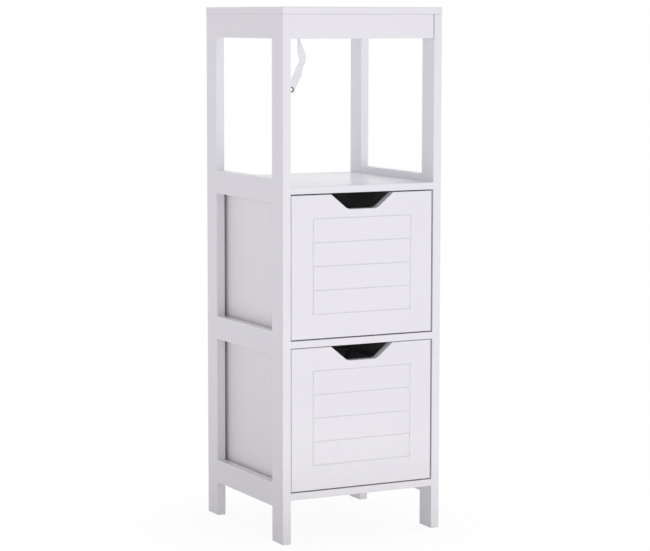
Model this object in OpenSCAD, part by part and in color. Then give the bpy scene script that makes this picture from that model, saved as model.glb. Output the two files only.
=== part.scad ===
// Free-standing bathroom cabinet of white lacquered board. Two side frames are joined by three
// shelves, two top rails and a top board. The upper bay is open all round, and two drawers
// slide on the shelves below it.
// The origin is on the floor under the middle of the cabinet. +Z is up and the front faces -Y.

/* [Overall] */
// Width of the top board, the widest piece
cabinet_w = 300; // [260:1:420]
// Depth of the top board
cabinet_d = 300; // [260:1:420]
// Height from the floor to the top
cabinet_h = 890; // [830:1:1100]

/* [Boards] */
// Thickness of the posts and rails
frame_t = 15; // [14:0.5:20]
// Thickness of the top board
top_t = 12; // [11:0.5:18]
// How far the top board stands proud of the frame on each side
top_overhang = 0.5; // [0:0.1:6]
// Thickness of the three shelves
shelf_t = 12; // [11:0.5:16]
// Thickness of the side and back panels
panel_t = 3; // [2.5:0.1:4]

/* [Side frames] */
// Width of a post, seen from the side
post_w = 40; // [32:1:55]
// Height of a rail
rail_h = 40; // [36:1:55]
// Height of the legs below the lowest rail
leg_h = 59; // [30:1:100]
// How far a side rail hangs below the shelf that it carries
rail_drop = 15; // [8:0.5:20]
// How far the rear top rail is set in from the back of the posts
rear_rail_inset = 5; // [0:0.5:10]
// Gap left at the right end of the front top rail
rail_end_gap = 1.6; // [0:0.1:2]

/* [Bays] */
// Clear height of the lower drawer's bay
lower_bay_h = 243; // [210:1:270]
// Clear height of the upper drawer's bay
upper_bay_h = 243; // [210:1:270]

/* [Panels] */
// Gap between a side frame and the side panel behind it
panel_inset = 6; // [4:0.5:10]
// Depth of the panel grooves in the shelves
groove_depth = 3; // [2:0.25:3.5]
// Clearance of a panel on each face and on its upper edge
groove_gap = 0.1; // [0.05:0.05:0.3]
// Distance of the back panels from the back of the frame
back_inset = 4; // [3:0.5:10]

/* [Drawers] */
// Thickness of a drawer front
front_t = 15; // [14:0.5:20]
// Gap below a drawer front, and at each side of one that stands in the middle
front_gap = 2; // [1.5:0.25:3]
// Gap above the upper drawer's front
upper_top_gap = 2; // [0.5:0.25:3]
// Gap above the lower drawer's front
lower_top_gap = 1; // [0.5:0.25:3]
// How far the drawers stand to the right of the middle
drawer_shift = -1; // [-1:0.25:1]
// Thickness of a drawer's sides and back
box_t = 12; // [11:0.5:15]
// Height of a drawer's sides and back
box_h = 190; // [150:1:200]
// Clearance between a drawer side and the side panel
box_side_gap = 1.5; // [1.5:0.25:4]
// Clearance under a drawer's sides
run_gap = 0.3; // [0.1:0.05:0.8]
// Clearance between a closed drawer front and the side panels that stop it
stop_gap = 0.3; // [0.1:0.05:1]
// Clearance between a closed drawer and the back panel
box_rear_gap = 3; // [1:0.5:20]
// Thickness of a drawer's bottom
bottom_t = 3; // [2.5:0.1:4]
// Height of a drawer's bottom above the lower edge of its sides
bottom_lift = 10; // [6:0.5:16]
// Depth of the grooves that hold a drawer's bottom
bottom_groove_d = 5; // [3:0.5:6]

/* [Handle notch] */
// Width of the notch at the top edge of a drawer front
notch_top_w = 117; // [90:1:150]
// Width of the notch at its foot
notch_foot_w = 55; // [40:1:80]
// Depth of the notch
notch_depth = 25.5; // [20:0.5:34]
// Radius of the corners at the foot of the notch
notch_r = 5; // [2:0.5:10]

/* [Cottage pattern on the fronts] */
// Width of the grooved rectangle
pattern_w = 184; // [140:1:200]
// Height of one plank between two grooves
plank_h = 39.75; // [30:0.25:44]
// Number of planks
plank_count = 4; // [2:1:4]
// Distance of the top groove from the top edge of the front
pattern_drop = 39; // [36:1:46]
// Width of a groove at the surface
vee_w = 2.5; // [2:0.25:6]
// Depth of a groove
vee_d = 1; // [0.75:0.25:4]

/* [Anti-tip strap] */
// Width of the webbing
strap_w = 14; // [13:0.5:18]
// Thickness of the webbing
strap_t = 1.2; // [0.8:0.1:1.5]
// Radius of an eyelet's flange
eyelet_flange_r = 4.5; // [4.2:0.1:6]
// Thickness of an eyelet's flange
eyelet_flange_t = 0.5; // [0.3:0.05:0.6]
// Radius of the hole in an eyelet
eyelet_hole_r = 2.5; // [2.2:0.1:2.8]
// Wall of an eyelet's barrel
eyelet_wall = 0.6; // [0.4:0.1:0.9]
// Radius of the strap screw's shank
strap_screw_r = 2; // [1.5:0.1:2.1]
// Length of the strap screw's shank in the rail
strap_screw_l = 11; // [8:0.5:12]
// Radius of the strap screw's head
strap_head_r = 4.2; // [3.6:0.1:5]
// Height of the strap screw's head
strap_head_h = 1.9; // [1.4:0.1:2.2]

/* [Fasteners] */
// Diameter of a dowel
dowel_d = 6; // [5:0.5:8]
// Length of a dowel
dowel_l = 30; // [24:1:32]
// Distance between the two dowels in the end of a side rail
dowel_pitch = 20; // [16:1:24]
// Depth of a dowel in the face of a board, which is the top board or a post
face_dowel_depth = 8; // [6:0.5:9]
// Distance of the top board dowels from the middle
top_dowel_y = 25; // [15:1:35]
// Distance of the top board's cam bolts from the middle
top_bolt_y = 60; // [52:1:70]
// Distance of the shelves' cam bolts from the middle
shelf_bolt_y = 75; // [50:1:85]
// Diameter of a cam lock
cam_d = 12; // [11:0.5:15]
// Reach of a cam lock past the middle of its board
cam_web = 3.3; // [3:0.1:4]
// Distance from the joint to the middle of the cam
cam_offset = 24; // [20:0.5:26]
// Depth of a cam lock's face below the surface
cam_recess = 0.3; // [0.1:0.05:0.6]
// Radius of a cam bolt's thread
thread_r = 2.8; // [2.4:0.1:3]
// Length of a cam bolt's thread
thread_l = 8; // [6:0.5:9]
// Radius of a cam bolt's stem
stem_r = 2; // [1.8:0.1:2.2]
// Height of the cam bolts of the front and rear top rails above the rails' lower edge
rail_bolt_up = 12; // [10:0.5:14]
// Distance of those rails' dowels from their upper edge
rail_dowel_drop = 10; // [8:0.5:12]
// Radial clearance of dowels, bolts and screws in their holes
hole_gap = 0.1; // [0.05:0.05:0.2]
// Radius of a drawer screw's shank
screw_r = 2; // [1.6:0.1:2.3]
// Length of a drawer screw
screw_l = 35; // [30:1:40]
// Radius of a drawer screw's countersunk head
screw_head_r = 4; // [3.4:0.1:4.6]
// Height of the lower drawer fixings above the box's lower edge
low_fixing_z = 45; // [30:1:60]
// Distance of the upper drawer fixings from the box's upper edge
high_fixing_drop = 40; // [25:1:60]

/* [Hidden] */
$fn = 48;

// Overlap of a cut past the surface that it opens
cut = 1;
// Chamfer on the ends of a dowel
dowel_chamfer = 0.8;
// Spare depth at the blind end of a hole
end_gap = 0.3;
// Radius and length of the neck that a cam grips, and the length of the bolt's head
neck_r = 1.2;
neck_l = 2;
head_l = 2.5;
// Chamfer on the end of a cam bolt's thread
thread_chamfer = 0.6;
// Width and depth of the slots in cam locks and screw heads, and a cam lock slot's share of its face
slot_w = 1.4;
slot_d = 1.5;
cam_slot_share = 0.6;
// Radial clearance of a cam bolt in the port of its cam lock
port_gap = 0.5;
// Clearance between the webbing and an eyelet
eyelet_gap = 0.05;

// The frame under the top board
frame_w = cabinet_w - 2 * top_overhang;
frame_d = cabinet_d - 2 * top_overhang;
frame_h = cabinet_h - top_t;
out_x = frame_w / 2;
in_x = out_x - frame_t;
mid_x = out_x - frame_t / 2;
front_y = -frame_d / 2;
rear_y = frame_d / 2;
post_edge_y = rear_y - post_w;

// Undersides of the shelves and of the side rails
bottom_shelf_z = leg_h + rail_drop;
middle_shelf_z = bottom_shelf_z + shelf_t + lower_bay_h;
open_shelf_z = middle_shelf_z + shelf_t + upper_bay_h;
top_rail_z = frame_h - rail_h;
rail_zs = [leg_h, middle_shelf_z - rail_drop, open_shelf_z - rail_drop, top_rail_z];

// Side and back panels
panel_x = in_x - panel_inset;
back_y = rear_y - back_inset;
back_front_y = back_y - panel_t;
panel_front_y = front_y + front_t + stop_gap;

// Drawer boxes, above the top face of the shelf that each one slides on
lower_floor_z = bottom_shelf_z + shelf_t;
upper_floor_z = middle_shelf_z + shelf_t;
front_w = 2 * (in_x - front_gap);
box_x = panel_x - panel_t - box_side_gap;
box_in_x = box_x - box_t;
box_front_y = front_y + front_t;
box_rear_y = back_front_y - box_rear_gap;

// Cam locks and bolts
cam_r = cam_d / 2;
cam_port_r = stem_r + port_gap;
cam_slot_r = cam_r * cam_slot_share;
fixing_zs = [low_fixing_z, box_h - high_fixing_drop];

// Front and rear top rails
front_rail_y = front_y + frame_t / 2;
rear_rail_y = rear_y - rear_rail_inset - frame_t / 2;
rear_rail_front_y = rear_rail_y - frame_t / 2;
rail_bolt_z = top_rail_z + rail_bolt_up;
rail_dowel_z = frame_h - rail_dowel_drop;

// Anti-tip strap, screwed to the front of the rear top rail and hanging below it
strap_x = 14;
strap_y = rear_rail_front_y - eyelet_flange_t - eyelet_gap - strap_t / 2;
// Height of the strap screw above the rail's lower edge, and the webbing above and below it
strap_screw_up = 18;
strap_end = 8;
// How far the free stretch hangs in front of the screwed one
strap_hang_in = 3;
// Radius of the strap screw's head at its top, as a share of its radius at the eyelet
head_taper = 0.7;
// Each point gives the middle of the webbing: its place across the cabinet, how far it is in front of
// the screwed stretch, its height from the rail's lower edge, and its turn away from facing back
strap_route = [
    [strap_x, 0, strap_screw_up + strap_end, 0],
    [strap_x, 0, strap_screw_up - strap_end, 0],
    [14, 1, 6, 8],
    [14.5, 4, 1, 30],
    [16.5, 6, -4, 45],
    [17, 6, -9, 42],
    [18, 6, -14, 32],
    [19, 6, -20, 19],
    [21, 5.5, -27, 6],
    [23.5, 5, -34, 0],
    [25, 4, -40, 12],
    [24, 3.5, -45, 21],
    [21.5, strap_hang_in, -49, 18],
    [19, strap_hang_in, -55, 9],
    [17, strap_hang_in, -60, 2],
    [16, strap_hang_in, -65, -14],
    [13, strap_hang_in, -70.5, -25],
    [10, strap_hang_in, -76, -22],
    [8, strap_hang_in, -81, -10],
    [5.5, strap_hang_in, -87, 0],
    [3.5, strap_hang_in, -92, 0],
    [3, strap_hang_in, -98.5, 0]
];
wall_eyelet_point = len(strap_route) - 2;

// Helpers
module block(low, high) {
    translate(low) cube(high - low);
}

module rod_x(r, l) {
    rotate([0, 90, 0]) cylinder(r = r, h = l);
}

module rod_y(r, l) {
    rotate([-90, 0, 0]) cylinder(r = r, h = l);
}

// The left piece, or its mirror image on the right
module on_side(side) {
    mirror([side == "left" ? 0 : 1, 0, 0]) children();
}

module on_both_sides() {
    for (side = ["left", "right"]) on_side(side) children();
}

// Dowels and their holes, lying along Z and centred on the joint
module dowel() {
    r = dowel_d / 2;
    h = dowel_l / 2;
    c = dowel_chamfer;
    rotate_extrude() polygon([[0, -h], [r - c, -h], [r, c - h], [r, h - c], [r - c, h], [0, h]]);
}

module dowel_hole() {
    cylinder(r = dowel_d / 2 + hole_gap, h = dowel_l + 2 * end_gap, center = true);
}

// A cam bolt along +X, screwed into the board behind X = 0
module cam_bolt() {
    neck_x = cam_offset - neck_l / 2 - head_l / 2;
    rotate([0, 90, 0]) rotate_extrude() polygon([
        [0, -thread_l], [thread_r - thread_chamfer, -thread_l],
        [thread_r, thread_chamfer - thread_l], [thread_r, 0],
        [stem_r, 0], [stem_r, neck_x], [neck_r, neck_x], [neck_r, neck_x + neck_l],
        [stem_r, neck_x + neck_l], [stem_r, neck_x + neck_l + head_l], [0, neck_x + neck_l + head_l]
    ]);
}

module cam_bolt_hole() {
    translate([-thread_l - end_gap, 0, 0]) rod_x(thread_r + hole_gap, thread_l + end_gap + cut);
}

// The bore and pocket for a cam bolt and its lock, in a board whose face is at Z = -board_t / 2
module cam_pocket(board_t) {
    translate([-cut, 0, 0]) rod_x(stem_r + hole_gap, cam_offset + cut);
    translate([cam_offset, 0, -board_t / 2 - cut])
        cylinder(r = cam_r + hole_gap, h = board_t / 2 + cam_web + end_gap + cut);
}

module cam_lock(board_t) {
    face_z = cam_recess - board_t / 2;
    translate([cam_offset, 0, 0]) difference() {
        translate([0, 0, face_z]) cylinder(r = cam_r, h = cam_web - face_z);
        translate([-cam_r - cut, 0, 0]) rod_x(cam_port_r, cam_r + cut + head_l);
        for (turn = [0, 90]) rotate([0, 0, turn])
            translate([-cam_slot_r, -slot_w / 2, face_z - cut])
                cube([2 * cam_slot_r, slot_w, slot_d + cut]);
    }
}

// Places of the joints. Each puts a joint's own +X along the bolt and its -Z towards the cam's face
module at_shelf_joints(shelf_z) {
    on_both_sides() for (y = [-shelf_bolt_y, shelf_bolt_y])
        translate([-in_x, y, shelf_z + shelf_t / 2]) children();
}

module at_top_joints() {
    for (y = [-top_bolt_y, top_bolt_y])
        translate([-mid_x, y, frame_h]) rotate([180, 90, 0]) children();
}

module at_top_dowels() {
    for (y = [-top_dowel_y, top_dowel_y])
        translate([-mid_x, y, frame_h + face_dowel_depth - dowel_l / 2]) children();
}

module at_front_rail_bolt() {
    translate([-in_x, front_rail_y, rail_bolt_z]) rotate([90, 0, 0]) children();
}

module at_rear_rail_bolt() {
    translate([-in_x, rear_rail_y, rail_bolt_z]) rotate([-90, 0, 0]) children();
}

module at_rail_dowel(rail_y) {
    translate([dowel_l / 2 - face_dowel_depth - in_x, rail_y, rail_dowel_z]) rotate([0, 90, 0]) children();
}

// The dowels between one side rail and its two posts
module at_side_rail_dowels(rail_z) {
    for (y = [-post_edge_y, post_edge_y], dz = [-dowel_pitch / 2, dowel_pitch / 2])
        translate([-mid_x, y, rail_z + rail_h / 2 + dz]) rotate([90, 0, 0]) children();
}

// Side frames, drawn on the left
module side_post(near_y, far_y) {
    color("#e6e5ea") difference() {
        block([-out_x, near_y, 0], [-in_x, far_y, frame_h]);
        for (z = rail_zs) at_side_rail_dowels(z) dowel_hole();
        at_front_rail_bolt() cam_bolt_hole();
        at_rear_rail_bolt() cam_bolt_hole();
        at_rail_dowel(front_rail_y) dowel_hole();
        at_rail_dowel(rear_rail_y) dowel_hole();
    }
}

module front_post() {
    side_post(front_y, -post_edge_y);
}

module rear_post() {
    side_post(post_edge_y, rear_y);
}

module side_rail(rail_z) {
    block([-out_x, -post_edge_y, rail_z], [-in_x, post_edge_y, rail_z + rail_h]);
}

module shelf_bearing_rail(rail_z) {
    color("#e6e5ea") difference() {
        side_rail(rail_z);
        at_side_rail_dowels(rail_z) dowel_hole();
        at_shelf_joints(rail_z + rail_drop) cam_bolt_hole();
    }
}

module side_top_rail() {
    color("#e6e5ea") difference() {
        side_rail(top_rail_z);
        at_side_rail_dowels(top_rail_z) dowel_hole();
        at_top_joints() cam_pocket(frame_t);
        at_top_dowels() dowel_hole();
    }
}

// Top board and the rails under its front and back edges
module top_panel() {
    color("#e6e5ea") difference() {
        block([-cabinet_w / 2, -cabinet_d / 2, frame_h], [cabinet_w / 2, cabinet_d / 2, cabinet_h]);
        on_both_sides() {
            at_top_joints() cam_bolt_hole();
            at_top_dowels() dowel_hole();
        }
    }
}

module front_top_rail() {
    color("#e6e5ea") difference() {
        block([-in_x, front_y, top_rail_z], [in_x - rail_end_gap, front_y + frame_t, frame_h]);
        on_both_sides() {
            at_front_rail_bolt() cam_pocket(frame_t);
            at_rail_dowel(front_rail_y) dowel_hole();
        }
    }
}

module rear_top_rail() {
    color("#e6e5ea") difference() {
        block([-in_x, rear_rail_front_y, top_rail_z], [in_x, rear_rail_front_y + frame_t, frame_h]);
        on_both_sides() {
            at_rear_rail_bolt() cam_pocket(frame_t);
            at_rail_dowel(rear_rail_y) dowel_hole();
        }
        at_rail_eyelet() translate([0, rear_rail_front_y - strap_y - cut, 0])
            rod_y(strap_screw_r + hole_gap, strap_screw_l + end_gap + cut);
    }
}

// Shelves. A groove holds the edge of each panel that stands on the shelf or hangs under it
module panel_grooves(low_z, high_z) {
    on_both_sides() block(
        [-panel_x - groove_gap, panel_front_y, low_z],
        [-panel_x + panel_t + groove_gap, back_y, high_z]);
    block([-in_x - cut, back_front_y - groove_gap, low_z], [in_x + cut, back_y + groove_gap, high_z]);
}

module shelf(z, groove_on_top, groove_below) {
    color("#ececf1") difference() {
        block([-in_x, front_y, z], [in_x, rear_y, z + shelf_t]);
        at_shelf_joints(z) cam_pocket(shelf_t);
        if (groove_on_top) panel_grooves(z + shelf_t - groove_depth, z + shelf_t + cut);
        if (groove_below) panel_grooves(z - cut, z + groove_depth);
    }
}

module open_shelf() {
    shelf(open_shelf_z, false, true);
}

module middle_shelf() {
    shelf(middle_shelf_z, true, true);
}

module bottom_shelf() {
    shelf(bottom_shelf_z, true, false);
}

// Panels. Each stands in the groove below it and reaches into the one above it
module side_panel(floor_z, bay_h) {
    color("#dddce1") block(
        [-panel_x, panel_front_y + groove_gap, floor_z - groove_depth],
        [-panel_x + panel_t, back_front_y, floor_z + bay_h + groove_depth - groove_gap]);
}

module back_panel(floor_z, bay_h) {
    color("#dddce1") block(
        [-in_x, back_front_y, floor_z - groove_depth],
        [in_x, back_y, floor_z + bay_h + groove_depth - groove_gap]);
}

// Drawer front, its notch and its grooves
module notch_outline(top_z) {
    foot_z = top_z - notch_depth;
    half_foot = notch_foot_w / 2;
    half_top = notch_top_w / 2;
    slope = atan2(notch_depth, half_top - half_foot);
    back_off = notch_r * tan(slope / 2);
    lean = [cos(slope), sin(slope)];
    over = cut / sin(slope);
    polygon([
        [half_foot - back_off, foot_z],
        [half_foot, foot_z] + back_off * lean,
        [half_top, top_z] + over * lean,
        [-half_top - over * lean[0], top_z + over * lean[1]],
        [-half_foot - back_off * lean[0], foot_z + back_off * lean[1]],
        [back_off - half_foot, foot_z]
    ]);
    for (s = [-1, 1]) translate([s * (half_foot - back_off), foot_z + notch_r]) circle(r = notch_r);
}

// A groove along X, cut into the face at Y = 0
module vee_run(l) {
    spread = vee_w / 2 * (vee_d + cut) / vee_d;
    rotate([90, 0, 90]) linear_extrude(height = l, center = true)
        polygon([[-cut, -spread], [vee_d, 0], [-cut, spread]]);
}

// A groove along X that meets its neighbours in a mitre at both ends
module mitred_run(l) {
    reach = vee_w * (vee_d + cut) / vee_d;
    intersection() {
        vee_run(l + 2 * reach);
        rotate([90, 0, 0]) translate([0, 0, -vee_d - cut]) linear_extrude(height = vee_d + 3 * cut)
            polygon([
                [-l / 2 - reach, reach], [l / 2 + reach, reach],
                [l / 2 - reach, -reach], [reach - l / 2, -reach]
            ]);
    }
}

module cottage_pattern(top_z) {
    pattern_h = plank_h * plank_count;
    translate([0, front_y, top_z - pattern_drop - pattern_h / 2]) {
        for (turn = [0, 180]) rotate([0, turn, 0]) translate([0, 0, pattern_h / 2]) mitred_run(pattern_w);
        for (turn = [90, 270]) rotate([0, turn, 0]) translate([0, 0, pattern_w / 2]) mitred_run(pattern_h);
        for (i = [1:plank_count - 1]) translate([0, 0, pattern_h / 2 - i * plank_h]) vee_run(pattern_w);
    }
}

module at_front_joints() {
    for (z = fixing_zs) translate([-(box_x + box_in_x) / 2, box_front_y, run_gap + z])
        rotate([0, -90, 0]) rotate([0, 0, 90]) children();
}

module at_drawer_screws() {
    for (z = fixing_zs) translate([-box_x, box_rear_y - box_t / 2, run_gap + z]) children();
}

// The groove that the drawer's bottom sits in, as one block through all four boards
module bottom_space(side_clear) {
    grow = bottom_groove_d - side_clear;
    low_z = run_gap + bottom_lift - groove_gap + side_clear;
    high_z = run_gap + bottom_lift + bottom_t + groove_gap - side_clear;
    block([-box_in_x - grow, box_front_y - grow, low_z],
        [box_in_x + grow, box_rear_y - box_t + grow, high_z]);
}

module drawer_front(bay_h, top_gap) {
    top_z = bay_h - top_gap;
    color("#ececf1") difference() {
        block([-front_w / 2, front_y, front_gap], [front_w / 2, box_front_y, top_z]);
        translate([0, box_front_y + cut, 0]) rotate([90, 0, 0])
            linear_extrude(height = front_t + 2 * cut) notch_outline(top_z);
        cottage_pattern(top_z);
        bottom_space(0);
        on_both_sides() at_front_joints() cam_bolt_hole();
    }
}

module drawer_side() {
    color("#e6e5ea") difference() {
        block([-box_x, box_front_y, run_gap], [-box_in_x, box_rear_y, run_gap + box_h]);
        bottom_space(0);
        at_front_joints() cam_pocket(box_t);
        at_drawer_screws() drawer_screw_hole();
    }
}

module drawer_back() {
    color("#e6e5ea") difference() {
        block([-box_in_x, box_rear_y - box_t, run_gap], [box_in_x, box_rear_y, run_gap + box_h]);
        bottom_space(0);
        on_both_sides() at_drawer_screws() drawer_screw_hole();
    }
}

module drawer_bottom() {
    color("#dddce1") bottom_space(groove_gap);
}

// A countersunk screw along +X, flush with the face at X = 0
module drawer_screw() {
    difference() {
        rotate([0, 90, 0]) rotate_extrude() polygon([
            [0, cam_recess], [screw_head_r, cam_recess], [screw_r, cam_recess + screw_head_r - screw_r],
            [screw_r, screw_l - screw_r], [0, screw_l]
        ]);
        for (turn = [0, 90]) rotate([turn, 0, 0]) translate([cam_recess - cut, -slot_w / 2, -screw_r])
            cube([slot_d + cut, slot_w, 2 * screw_r]);
    }
}

module drawer_screw_hole() {
    r = screw_r + hole_gap;
    head_r = screw_head_r + hole_gap;
    rotate([0, 90, 0]) rotate_extrude() polygon([
        [0, -cut], [head_r, -cut], [head_r, cam_recess], [r, cam_recess + head_r - r],
        [r, screw_l + end_gap], [0, screw_l + end_gap]
    ]);
}

// Anti-tip strap: rings of four points round the webbing, skinned from end to end
function unit(v) = v / norm(v);
function strap_at(i) =
    let (point = strap_route[i])
    [point[0], strap_y - point[1], top_rail_z + point[2]];
function strap_way(i) =
    unit(strap_at(min(i + 1, len(strap_route) - 1)) - strap_at(max(i - 1, 0)));
function strap_across(i) =
    let (turn = strap_route[i][3], flat = [cos(turn), sin(turn), 0], way = strap_way(i))
    unit(flat - (flat * way) * way);
function strap_ring(i) =
    let (w = strap_across(i) * strap_w / 2, t = cross(strap_way(i), strap_across(i)) * strap_t / 2)
    [for (s = [[-1, -1], [1, -1], [1, 1], [-1, 1]]) strap_at(i) + s[0] * w + s[1] * t];

// The sides between ring a and the next ring b, by their first points. Both wide sides are split along
// the same diagonal, so they stay parallel where the webbing twists
function strap_sides(a, b) = [
    [a, b, a + 1], [a + 1, b, b + 1],
    [a + 1, b + 1, a + 2], [a + 2, b + 1, b + 2],
    [a + 2, b + 2, b + 3], [a + 2, b + 3, a + 3],
    [a + 3, b + 3, a], [a, b + 3, b]
];

module webbing() {
    rings = len(strap_route);
    end = 4 * (rings - 1);
    polyhedron(
        points = [for (i = [0:rings - 1]) each strap_ring(i)],
        faces = [
            [0, 1, 2], [0, 2, 3],
            for (i = [1:rings - 1]) each strap_sides(4 * i - 4, 4 * i),
            [end + 2, end + 1, end], [end + 3, end + 2, end]
        ]);
}

module at_rail_eyelet() {
    translate([strap_x, strap_y, top_rail_z + strap_screw_up]) children();
}

module at_wall_eyelet() {
    translate(strap_at(wall_eyelet_point)) children();
}

module eyelet_hole() {
    r = eyelet_hole_r + eyelet_wall + eyelet_gap;
    translate([0, -strap_t, 0]) rod_y(r, 2 * strap_t);
}

module eyelet() {
    half = strap_t / 2 + eyelet_gap;
    barrel_r = eyelet_hole_r + eyelet_wall;
    flange_y = half + eyelet_flange_t;
    color("silver") rotate([90, 0, 0]) rotate_extrude() polygon([
        [eyelet_hole_r, -flange_y], [eyelet_flange_r, -flange_y], [eyelet_flange_r, -half],
        [barrel_r, -half], [barrel_r, half], [eyelet_flange_r, half],
        [eyelet_flange_r, flange_y], [eyelet_hole_r, flange_y]
    ]);
}

module anti_tip_strap() {
    color("#f0eff3") difference() {
        webbing();
        at_rail_eyelet() eyelet_hole();
        at_wall_eyelet() eyelet_hole();
    }
}

module rail_eyelet() {
    at_rail_eyelet() eyelet();
}

module wall_eyelet() {
    at_wall_eyelet() eyelet();
}

module strap_screw() {
    face_y = strap_t / 2 + eyelet_gap + eyelet_flange_t;
    tip_y = strap_y - rear_rail_front_y - strap_screw_l;
    color("silver") at_rail_eyelet() mirror([0, 1, 0]) difference() {
        translate([0, tip_y, 0]) rotate([-90, 0, 0]) rotate_extrude() polygon([
            [0, 0], [strap_screw_r, strap_screw_r], [strap_screw_r, face_y - tip_y],
            [strap_head_r, face_y - tip_y], [strap_head_r * head_taper, face_y - tip_y + strap_head_h],
            [0, face_y - tip_y + strap_head_h]
        ]);
        for (turn = [0, 90]) rotate([0, turn, 0])
            translate([-strap_screw_r, face_y + strap_head_h / 2, -slot_w / 2])
                cube([2 * strap_screw_r, strap_head_h, slot_w]);
    }
}

// Groups of like fasteners
module frame_dowels() {
    color("burlywood") for (z = rail_zs) at_side_rail_dowels(z) dowel();
}

module top_dowels() {
    color("burlywood") on_both_sides() at_top_dowels() dowel();
}

module top_rail_dowels() {
    color("burlywood") on_both_sides() for (y = [front_rail_y, rear_rail_y]) at_rail_dowel(y) dowel();
}

module shelf_cam_bolts() {
    color("silver") for (z = [bottom_shelf_z, middle_shelf_z, open_shelf_z]) at_shelf_joints(z) cam_bolt();
}

module shelf_cam_locks() {
    color("gainsboro") for (z = [bottom_shelf_z, middle_shelf_z, open_shelf_z])
        at_shelf_joints(z) cam_lock(shelf_t);
}

module top_cam_bolts() {
    color("silver") on_both_sides() at_top_joints() cam_bolt();
}

module top_cam_locks() {
    color("gainsboro") on_both_sides() at_top_joints() cam_lock(frame_t);
}

module top_rail_cam_bolts() {
    color("silver") on_both_sides() {
        at_front_rail_bolt() cam_bolt();
        at_rear_rail_bolt() cam_bolt();
    }
}

module top_rail_cam_locks() {
    color("gainsboro") on_both_sides() {
        at_front_rail_bolt() cam_lock(frame_t);
        at_rear_rail_bolt() cam_lock(frame_t);
    }
}

module drawer_cam_bolts() {
    color("silver") on_both_sides() at_front_joints() cam_bolt();
}

module drawer_cam_locks() {
    color("gainsboro") on_both_sides() at_front_joints() cam_lock(box_t);
}

module drawer_screws() {
    color("silver") on_both_sides() at_drawer_screws() drawer_screw();
}

// The pieces of one drawer, by name
module drawer_piece(piece, bay_h, top_gap) {
    if (piece == "front") drawer_front(bay_h, top_gap);
    if (piece == "left_side") drawer_side();
    if (piece == "right_side") on_side("right") drawer_side();
    if (piece == "back") drawer_back();
    if (piece == "bottom") drawer_bottom();
    if (piece == "cam_bolts") drawer_cam_bolts();
    if (piece == "cam_locks") drawer_cam_locks();
    if (piece == "screws") drawer_screws();
}

// The pieces of one side frame, by name
module side_piece(piece) {
    if (piece == "front_post") front_post();
    if (piece == "rear_post") rear_post();
    if (piece == "top_rail") side_top_rail();
    if (piece == "shelf_rail") shelf_bearing_rail(rail_zs[2]);
    if (piece == "middle_rail") shelf_bearing_rail(rail_zs[1]);
    if (piece == "bottom_rail") shelf_bearing_rail(rail_zs[0]);
    if (piece == "upper_side_panel") side_panel(upper_floor_z, upper_bay_h);
    if (piece == "lower_side_panel") side_panel(lower_floor_z, lower_bay_h);
    if (piece == "frame_dowels") frame_dowels();
}

side_pieces = ["front_post", "rear_post", "top_rail", "shelf_rail", "middle_rail", "bottom_rail",
    "upper_side_panel", "lower_side_panel", "frame_dowels"];
drawer_pieces = ["front", "left_side", "right_side", "back", "bottom", "cam_bolts", "cam_locks", "screws"];

for (side = ["left", "right"], piece = side_pieces)
    on_side(side) side_piece(piece);
for (piece = drawer_pieces) {
    translate([drawer_shift, 0, upper_floor_z]) drawer_piece(piece, upper_bay_h, upper_top_gap);
    translate([drawer_shift, 0, lower_floor_z]) drawer_piece(piece, lower_bay_h, lower_top_gap);
}
top_panel();
front_top_rail();
rear_top_rail();
open_shelf();
middle_shelf();
bottom_shelf();
back_panel(upper_floor_z, upper_bay_h);  // upper_back_panel
back_panel(lower_floor_z, lower_bay_h);  // lower_back_panel
top_dowels();
top_rail_dowels();
shelf_cam_bolts();
shelf_cam_locks();
top_cam_bolts();
top_cam_locks();
top_rail_cam_bolts();
top_rail_cam_locks();
anti_tip_strap();
rail_eyelet();
wall_eyelet();
strap_screw();
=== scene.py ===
"""A narrow bathroom cabinet in white satin lacquer, dressed piece by piece over its CAD model.

Lengths are in metres, +Z is up and the cabinet's front faces -Y. Each operator makes one group of
like pieces, which take their places and sizes from the nodes of the CAD model.
"""

import math

import bmesh
import bpy
from bpy.props import FloatProperty, FloatVectorProperty, IntProperty, PointerProperty
from bpy.types import Operator, Panel, PropertyGroup
from mathutils import Matrix, Vector


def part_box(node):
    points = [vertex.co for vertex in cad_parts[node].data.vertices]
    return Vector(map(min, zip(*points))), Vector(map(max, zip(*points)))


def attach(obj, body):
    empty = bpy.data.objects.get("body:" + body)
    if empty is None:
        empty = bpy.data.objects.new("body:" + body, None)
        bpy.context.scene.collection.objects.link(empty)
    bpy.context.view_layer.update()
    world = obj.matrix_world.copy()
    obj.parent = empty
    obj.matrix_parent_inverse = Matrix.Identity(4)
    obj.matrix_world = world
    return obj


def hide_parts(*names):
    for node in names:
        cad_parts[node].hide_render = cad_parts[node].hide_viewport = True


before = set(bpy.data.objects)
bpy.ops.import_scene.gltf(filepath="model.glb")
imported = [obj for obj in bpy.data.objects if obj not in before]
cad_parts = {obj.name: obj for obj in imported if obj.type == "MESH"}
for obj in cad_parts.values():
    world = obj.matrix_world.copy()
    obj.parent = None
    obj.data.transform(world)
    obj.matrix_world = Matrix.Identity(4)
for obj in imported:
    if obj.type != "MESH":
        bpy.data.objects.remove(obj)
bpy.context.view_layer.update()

bl_info = {
    "name": "Bathroom Cabinet",
    "version": (1, 0, 0),
    "blender": (4, 5, 0),
    "location": "View3D > Sidebar > Cabinet",
    "description": "Builds the boards, drawers, strap and fittings of a narrow bathroom cabinet",
    "category": "Object",
}

MM = 0.001
X, Y, Z = range(3)
# Both sides of a board along an axis
BOTH = (-1, 1)
SIDES = {"left": -1, "right": 1}
DRAWERS = ("upper", "lower")


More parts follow.
